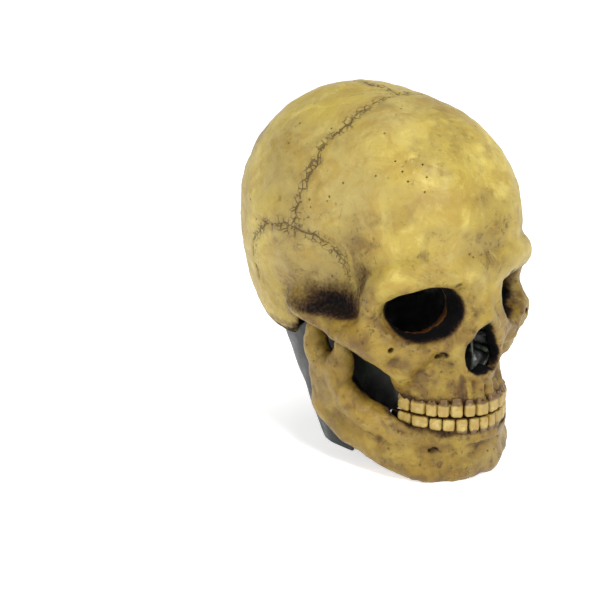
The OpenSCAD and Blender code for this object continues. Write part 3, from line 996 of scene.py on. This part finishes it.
def jaw_paint(points, faces, body):
    """Where the jaw skin is black, stained or bare inside."""
    half, n, inside, cav = skin_facts(points, faces, body)
    x, y, z = half.T
    from_arch = np.abs(np.hypot(x / ARCH_R[0], (y - ARCH_CENTRE_Y) / ARCH_R[1]) - 1) * 44
    ragged = 1.6 * noise(points, 5, 32) + 1.2 * noise(points, 14, 33)
    mouth = smoothstep(35, 41, z + ragged) * smoothstep(10, 5, from_arch) * smoothstep(-58, -66, y)
    inward = smoothstep(0.25, 0.8, -n[:, 0] * np.sign(points[:, 0])) * smoothstep(-100, -60, y)
    corner = distance_to_chain(points, [[46, -66, 44], [52, -52, 48], [58, -42, 62], [62, -38, 80]])
    facing_in = n[:, 2] - 0.6 * n[:, 0] * np.sign(points[:, 0])
    corner = 0.95 * smoothstep(9, 2, corner + 2 * noise(points, 6, 41)) * smoothstep(-0.1, 0.5, facing_in)
    notch, hole = near(half, [73, -22, 96], 9, 3), near(half, [36, -101, 27], 5, 1.5)
    gum_end = smoothstep(7, 4.5, distance_to_chain(points, [v[:3] for v in GUM_END]))
    black = np.max([0.7 * mouth, inward, corner, notch, hole, gum_end], axis=0)
    patches, creases = blotches(points)
    stain = 0.18 + 0.6 * smoothstep(-0.15, 0.8, cav) + 0.5 * patches + 0.6 * creases
    stain += 0.35 * smoothstep(18, 2, z) + 0.3 * smoothstep(24, 38, z) * smoothstep(16, 6, from_arch)
    cavity = smoothstep(0.4, 1.4, cav)
    return {"black": black * (1 - inside), "stain": np.clip(stain, 0, 1), "cavity": cavity,
            "inside": inside, "age": np.ones(len(points))}


shell, body = jaw_shell(1.35)
points, faces = surface(shell)
points, _ = finish_skin(points, faces)
points[:, 2] = np.maximum(points[:, 2], 0.1)
paint = jaw_paint(points, faces, body)
paint["seam"] = np.full(len(points), NO_SEAM)
jaw = make_object("jaw_latex", points, faces, SKIN, paint)
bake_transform(jaw)
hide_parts("jaw_skin")


# ------------------------------------------------------------------ teeth
def tooth_row(name, z_bite, up, widths, height, node, body_name):
    """A row of separate crowns on a gum band, one tooth at a time."""
    lo_z, hi_z = sorted([z_bite, z_bite + up * (height + 4)])
    g = Grid((-48, -124, lo_z - 2), (48, -62, hi_z + 2), 0.75)
    angles, sizes = tooth_angles(widths)
    order = np.random.default_rng(11 if up > 0 else 12)
    for side in (-1, 1):
        for i, (angle, size) in enumerate(zip(angles, sizes)):
            x, y, facing = on_arch(angle, 0.9)
            jitter = order.uniform(-1, 1, 4)
            h = (height + [1.2, 0.2, 0.8, 0, -0.4, -1.4, -1.8][i]) / 2 + 0.3 * jitter[0]
            z = z_bite + up * (h + 0.15 + 0.3 * abs(jitter[1]))
            half = (size * 0.5 - 0.28, 3.4 if i < 3 else 4.0, h)
            turn = side * facing + 3.5 * jitter[2]
            g.add(rounded_box((side * x, y + 0.5 * jitter[3], z), half, 2.0, turn), 0.5)
            # the neck, narrower, going into the gum
            neck = (size * 0.5 - 1.3, 2.6, 3)
            g.add(rounded_box((side * x * 0.985, y + 0.6, z + up * h), neck, 1.6, turn), 1.2)
    band = arch_block([[z_bite + up * 0.8, -66, 38.6, 48.6], [z_bite + up * 9, -66, 39.4, 49.4]][::up])
    g.add(band, 0.8)
    g.carve(arch_block([[lo_z - 6, -66, 35.5, 45.5], [hi_z + 6, -66, 35.5, 45.5]]), 0.5)
    pts = g.points()
    gum_end = 68 - 4 * smoothstep(3.5, 5, up * (pts[..., 2] - z_bite))
    g.d = np.maximum(g.d, pts[..., 1] + gum_end - 0.2)
    points, faces, n = sculpted(g, 2, 0.4, lambda p: 0.25 * noise(p, 3.2, 41) + 0.15 * noise(p, 1.6, 42))
    cav = cavities(points, faces, 8)
    near_gum = smoothstep(height * 0.62, height + 1, up * (points[:, 2] - z_bite))
    between_teeth = smoothstep(0.1, 0.75, cav)
    # painted shade: the inner side of each row, facing into the dark mouth, is painted black
    shade_inside_mouth = smoothstep(0.3, -0.5, ((points[:, :2] - [0, ARCH_CENTRE_Y]) * n[:, :2]).sum(1) / 40)
    bite = smoothstep(1.6, 0.2, np.abs(points[:, 2] - z_bite)) * 0.5
    # cavity holds the painted lines between the teeth, at the gum and at the bite, and the painted shade
    # inside the mouth
    cavity = np.clip(between_teeth + 0.6 * near_gum + shade_inside_mouth + bite, 0, 1)
    row = make_object(name, points, faces, TEETH, {"cavity": cavity})
    stand_in(row, body_name, node)


tooth_row("upper_tooth_row", 52.3, 1, UPPER_WIDTHS, 10.5, "upper_teeth", "skull")
tooth_row("lower_tooth_row", 51.7, -1, LOWER_WIDTHS, 10.0, "lower_teeth", "jaw")


# ------------------------------------------------------------------ nose cup
def nose_cup():
    g = Grid((-28, -104, 70), (28, -78, 134), 1.0)
    pts = g.points()
    outer = ellipsoid((0, -104, 102), (23, 21, 27))[0](pts)
    wall = np.maximum(outer, -(outer + 2.2))
    septum = np.maximum(np.abs(pts[..., 0] - 0.6 * np.sin(pts[..., 2] * 0.16)) - 1.1, outer)
    both = smooth_min(wall, septum, 2.5)
    for side in (-1, 1):
        slot = np.hypot(pts[..., 0] - side * 8, np.maximum(np.abs(pts[..., 2] - 98) - 6, 0)) - 3
        both = smooth_max(both, -slot, 0.8)
        # scroll-like ridges on the walls
        for z, r in ((92, 2.6), (103, 2.2)):
            ridge = limb([side * 17, -100, z, r], [side * 11, -88, z + 3, r * 0.7])[0](pts)
            both = smooth_min(both, ridge, 2)
    both = np.maximum(both, -101.2 - pts[..., 1])
    g.d = both.astype(np.float32)
    points, faces, _ = sculpted(g, 2, 0.4, lambda p: 0.35 * noise(p, 4, 51))
    # the raised ridges of the cup, where the black latex gets its painted sheen
    raised = smoothstep(0.1, -0.6, cavities(points, faces, 6))
    cup = make_object("nose_recess", points, faces, NECK, {"raised": raised})
    stand_in(cup, "skull", "nose_cup")


nose_cup()


# ------------------------------------------------------------------ neck and cheek panels
NECK_ROWS = 100
NECK_COLUMNS = 200
HEM = [(-75, 59), (-70, 54), (-66, 50.8), (-62, 48.4), (-58, 46.8), (-54, 44), (-38, 40), (-20, 28),
       (-16, 0), (24, 0), (40, 14), (58, 33), (92, 58)]
PANEL_TOP = [(-70, 76), (-67, 81), (-60, 91), (-44, 101.5), (-20, 108.8), (9, 110), (18, 99), (30, 92.5),
             (44, 91), (60, 94), (90, 94)]
FLAP_TOP = 91.5
FOLD_X = 38


def neck_path(level):
    """Evenly spaced points on one side of one level, from the throat to the rear slit."""
    ring = np.array(neck_outline(level, count=1440))
    ring = ring[ring[:, 0] > 0]
    ring = ring[np.argsort(np.arctan2(ring[:, 1] + 10, ring[:, 0]))]
    step = np.hypot(*np.diff(ring, axis=0).T)
    keep = np.concatenate([[True], step > 1e-6])
    ring = ring[keep]
    s = np.concatenate([[0], np.cumsum(np.hypot(*np.diff(ring, axis=0).T))])
    t = np.linspace(0, s[-1], NECK_COLUMNS)
    return np.column_stack([np.interp(t, s, ring[:, 0]), np.interp(t, s, ring[:, 1])])


def neck_half(side, name, flap, panel):
    """One side of the neck and cheek, from the throat round to the slit, in one sheet."""
    levels = np.linspace(0, 112, 29)
    table = np.array([neck_path([float(np.interp(z, [v[0] for v in NECK_LEVELS],
                                                 [v[i] for v in NECK_LEVELS])) for i in range(4)])
                      for z in levels])

    def at_height(z):
        """Plan points of every column at heights z (columns x rows)."""
        q = np.clip(z / 4.0, 0, len(levels) - 1.001)
        i = q.astype(int)
        f = (q - i)[..., None]
        column = np.arange(NECK_COLUMNS)[:, None]
        return table[i, column] * (1 - f) + table[i + 1, column] * f

    bottom = np.full((NECK_COLUMNS, 1), 20.0)
    top = np.full((NECK_COLUMNS, 1), 95.0)
    for _ in range(30):
        bottom = np.interp(at_height(bottom)[..., 1], *zip(*HEM))
        wide = np.interp(at_height(top)[..., 1], *zip(*PANEL_TOP))
        flap_side = (at_height(top)[..., 0] < FOLD_X + 0.3) & (at_height(top)[..., 1] > 0)
        top = top * 0.5 + 0.5 * np.where(flap_side, FLAP_TOP, wide)
    v = np.linspace(0, 1, NECK_ROWS)[None]
    z = bottom + (top - bottom) * v
    plan = at_height(z)
    p = np.concatenate([plan, z[..., None]], -1)
    across = np.gradient(p, axis=0)
    up = np.gradient(p, axis=1)
    n = np.cross(across, up)
    n /= np.linalg.norm(n, axis=2, keepdims=True) + 1e-9
    p, n = p.reshape(-1, 3), n.reshape(-1, 3)
    key = p * [side, 1, 1]
    # slanting wrinkles in the thin latex, and the soft pull under the skull's edge
    slant = key @ np.array([0.2, 0.75, 0.62])
    fold = 0.9 * np.sin(slant * 0.24 + 2.2 * noise(key, 30, 61)) * smoothstep(0, 12, p[:, 2])
    fold = fold * smoothstep(-0.5, 0.6, noise(key, 26, 62)) + 0.6 * noise(key, 18, 63)
    fold = np.clip(fold, -1.6, 1.0) - 0.4
    fold *= smoothstep(0, 3.5, p[:, 0] - SLIT_HALF)
    outer = p + n * (fold - 0.2)[:, None]
    inner = p + n * (fold - 0.2 - NECK_T)[:, None]
    outer[:, 0] = np.maximum(outer[:, 0], SLIT_HALF)
    inner[:, 0] = np.maximum(inner[:, 0], SLIT_HALF)
    outer[:, 2], inner[:, 2] = np.maximum(outer[:, 2], 0.1), np.maximum(inner[:, 2], 0.1)
    faces = two_sided((NECK_COLUMNS, NECK_ROWS))
    points = np.concatenate([outer, inner]) * [side, 1, 1]
    if side < 0:
        faces = faces[:, ::-1]
    # the crests of the folds, where the black latex gets its painted sheen
    raised = np.concatenate([smoothstep(0.0, 0.9, fold), np.zeros(len(inner))])
    obj = make_object(name, points, faces, NECK, {"raised": raised})
    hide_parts(panel, flap)
    return obj


def fold_point(side, height):
    """A point on a flap's fold line, which runs straight up the neck at one distance out."""
    ends = []
    for level in NECK_LEVELS[:2]:
        _, centre, a, b = level
        ends.append(np.array([FOLD_X, centre + b * math.sqrt(1 - (FOLD_X / a) ** 2), level[0]]))
    t = height / NECK_LEVELS[1][0]
    line = (ends[1] - ends[0]) / np.linalg.norm(ends[1] - ends[0])
    return (ends[0] + (ends[1] - ends[0]) * t) * [side, 1, 1], line * [side, 1, 1]


for side, word in ((-1, "right"), (1, "left")):
    piece = neck_half(side, word + "_neck_latex", word + "_neck_flap", word + "_side_panel")
    fold, line = fold_point(side, 60)
    across = np.array([-side * 0.78, 0.62, 0.0])
    across -= line * (across @ line)
    across *= 5 / np.linalg.norm(across)
    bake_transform(piece)


# ------------------------------------------------------------------ foam pads and gauze
GLUE = 0.6           # between a pad and the skin
FOAM_THICK = 9.0


def foam_pad(name, wall, block, node):
    """A pad with rounded edges lying against the inside of one rounded wall."""
    lo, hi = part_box(node)
    lo, hi = np.array(lo) / MM, np.array(hi) / MM
    g = Grid(lo - 6, hi + 6, 2.0)
    pts = g.points()
    radii = np.array(wall[1]) - LATEX - GLUE
    outer = ellipsoid(wall[0], radii)[0](pts)
    inner = ellipsoid(wall[0], radii - FOAM_THICK)[0](pts)
    centre, size = np.array(block[0]), np.array(block[1])
    slab = rounded_box(centre, size / 2 - 0.4, min(size) * 0.24)[0](pts)
    pad = smooth_max(smooth_max(outer, -inner, 4), slab, 6)
    beside = np.stack([np.abs(pts[..., 0]), pts[..., 1], pts[..., 2]], -1)
    pad = smooth_max(pad, LATEX + 2.5 - ellipsoid(*TEMPLE)[0](beside), 4)
    g.d = pad.astype(np.float32)
    foam_piece(name, g, node, "skull")


def foam_piece(name, g, node, body_name):
    points, faces, _ = sculpted(g, 3, 0.5, lambda p: 0.35 * noise(p, 9, 71) - 0.2)
    pad = make_object(name, points, faces, FOAM_MATERIAL)
    stand_in(pad, body_name, node)


CRANIUM = ((0, 22, 180), (92, 99, 95))
FOREHEAD = ((0, -34, 184), (92, 76, 72))
foam_pad("forehead_foam", FOREHEAD, ((0, -90, 196), (88, 60, 34)), "forehead_pad")
foam_pad("crown_foam", CRANIUM, ((0, 24, 262), (96, 84, 60)), "crown_pad")
foam_pad("nape_foam", CRANIUM, ((0, 102, 170), (90, 60, 42)), "nape_pad")
foam_pad("right_temple_foam", CRANIUM, ((-82, 26, 176), (60, 62, 44)), "right_temple_pad")
foam_pad("left_temple_foam", CRANIUM, ((82, 26, 176), (60, 62, 44)), "left_temple_pad")


def chin_foam():
    """A pad lining the front of the jaw, thick at the chin and thinner towards the teeth."""
    lo, hi = (np.array(v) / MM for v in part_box("chin_pad"))
    g = Grid(lo - 5, hi + 5, 1.5)
    pts = g.points()
    spread = np.stack([np.maximum(np.abs(pts[..., 0]) - 13, 0), pts[..., 1], pts[..., 2]], -1)
    g.d = (limb([0, -98, 12, 6.2], [0, -106, 34, 3.2])[0](spread) + 0.2).astype(np.float32)
    foam_piece("chin_foam", g, "chin_pad", "jaw")


chin_foam()


def slit_gauze():
    """A small cloth glued inside the nape over the top of the slit."""
    centre, radii = np.array((0, 52, 142)), np.array((70, 66, 52)) - LATEX - 0.9
    across, along = np.linspace(-15.8, 15.8, 60), np.linspace(0, 1, 56)
    # angle down from level at the cloth's lower and upper edges
    low, high = math.asin(42.5 / radii[2]), math.asin(28.5 / radii[2])
    x, angle = np.meshgrid(across, low + (high - low) * along, indexing="ij")
    angle = angle + 0.012 * noise(np.column_stack([x.ravel(), x.ravel() * 0, angle.ravel() * 50]),
                                  9, 81).reshape(x.shape) * (np.abs(along - 0.5)[None] * 2) ** 6
    flat = np.sqrt(1 - (x / radii[0]) ** 2)
    outer = np.stack([x, centre[1] + radii[1] * np.cos(angle) * flat,
                      centre[2] - radii[2] * np.sin(angle) * flat], -1).reshape(-1, 3)
    n = (outer - centre) / radii ** 2
    n /= np.linalg.norm(n, axis=1, keepdims=True)
    outer = outer - n * (0.12 + 0.1 * noise(outer, 6, 82))[:, None]
    inner = outer - n * 0.6
    cloth = make_object("slit_gauze", np.concatenate([outer, inner]), two_sided(x.shape), GAUZE)
    stand_in(cloth, "skull", "slit_patch")


slit_gauze()


# ------------------------------------------------------------------ stage, light and camera
def aimed(name, data, place, direction):
    """A light or camera at a place, looking in a direction."""
    obj = bpy.data.objects.new(name, data)
    obj.location = place
    obj.rotation_euler = direction.to_track_quat("-Z", "Y").to_euler()
    bpy.context.scene.collection.objects.link(obj)
    return obj


def area_light(name, place, target, size, power):
    data = bpy.data.lights.new(name, "AREA")
    data.shape = "DISK"
    data.size = size
    data.energy = power
    aimed(name, data, place, Vector(target) - Vector(place))


def stage():
    """A pale floor curving up into a low pale wall all round, all matt."""
    material = bpy.data.materials.new("pale_backdrop")
    material.use_nodes = True
    shader = material.node_tree.nodes["Principled BSDF"]
    shader.inputs["Base Color"].default_value = (0.93, 0.93, 0.93, 1)
    shader.inputs["Roughness"].default_value = 1.0
    shader.inputs["Specular IOR Level"].default_value = 0.0
    shader.inputs["Emission Color"].default_value = (1, 1, 1, 1)
    shader.inputs["Emission Strength"].default_value = 0.5
    reach, radius, rise, around = 4.0, 1.2, 1.7, 96
    profile = [(reach - radius + radius * math.sin(t), radius - radius * math.cos(t))
               for t in np.linspace(0, math.pi / 2, 13)]
    profile.append((reach, rise))
    vertices = [(0, 0, 0)] + [(r * math.cos(a), r * math.sin(a), z) for r, z in profile
                              for a in np.linspace(0, TAU, around, endpoint=False)]
    faces = [(0, 1 + i, 1 + (i + 1) % around) for i in range(around)]
    for k in range(len(profile) - 1):
        low = 1 + k * around
        faces += [(low + i, low + around + i, low + around + (i + 1) % around, low + (i + 1) % around)
                  for i in range(around)]
    mesh = bpy.data.meshes.new("backdrop")
    mesh.from_pydata(vertices, [], faces)
    mesh.polygons.foreach_set("use_smooth", [True] * len(faces))
    mesh.materials.append(material)
    backdrop = bpy.data.objects.new("backdrop", mesh)
    bpy.context.scene.collection.objects.link(backdrop)
    world = bpy.data.worlds.new("studio")
    world.use_nodes = True
    background = world.node_tree.nodes["Background"]
    background.inputs["Color"].default_value = (1, 1, 1, 1)
    background.inputs["Strength"].default_value = 0.22
    bpy.context.scene.world = world
    bpy.context.scene.view_settings.view_transform = "Standard"


CAMERA_AZIMUTH = -40
CAMERA_ELEVATION = 17
CAMERA_TARGET = (0.0, -0.005, 0.140)
CAMERA_DISTANCE = 1.15
CAMERA_LENS = 90.7
CAMERA_SHIFT = (-0.145, -0.063)


def camera():
    azimuth, elevation = math.radians(CAMERA_AZIMUTH), math.radians(CAMERA_ELEVATION)
    toward = Vector((math.sin(azimuth) * math.cos(elevation), -math.cos(azimuth) * math.cos(elevation),
                     math.sin(elevation)))
    data = bpy.data.cameras.new("photo_camera")
    data.sensor_width = 36
    data.lens = CAMERA_LENS
    data.shift_x, data.shift_y = CAMERA_SHIFT
    place = Vector(CAMERA_TARGET) + toward * CAMERA_DISTANCE
    bpy.context.scene.camera = aimed("photo_camera", data, place, -toward)


stage()
camera()
area_light("key", (-0.35, -1.5, 1.8), (0, 0, 0.16), 0.6, 38)
area_light("fill", (-1.6, -0.3, 1.0), (0, 0, 0.15), 0.9, 9)
area_light("top", (0.2, 0.4, 1.9), (0, 0, 0.15), 1.1, 9)
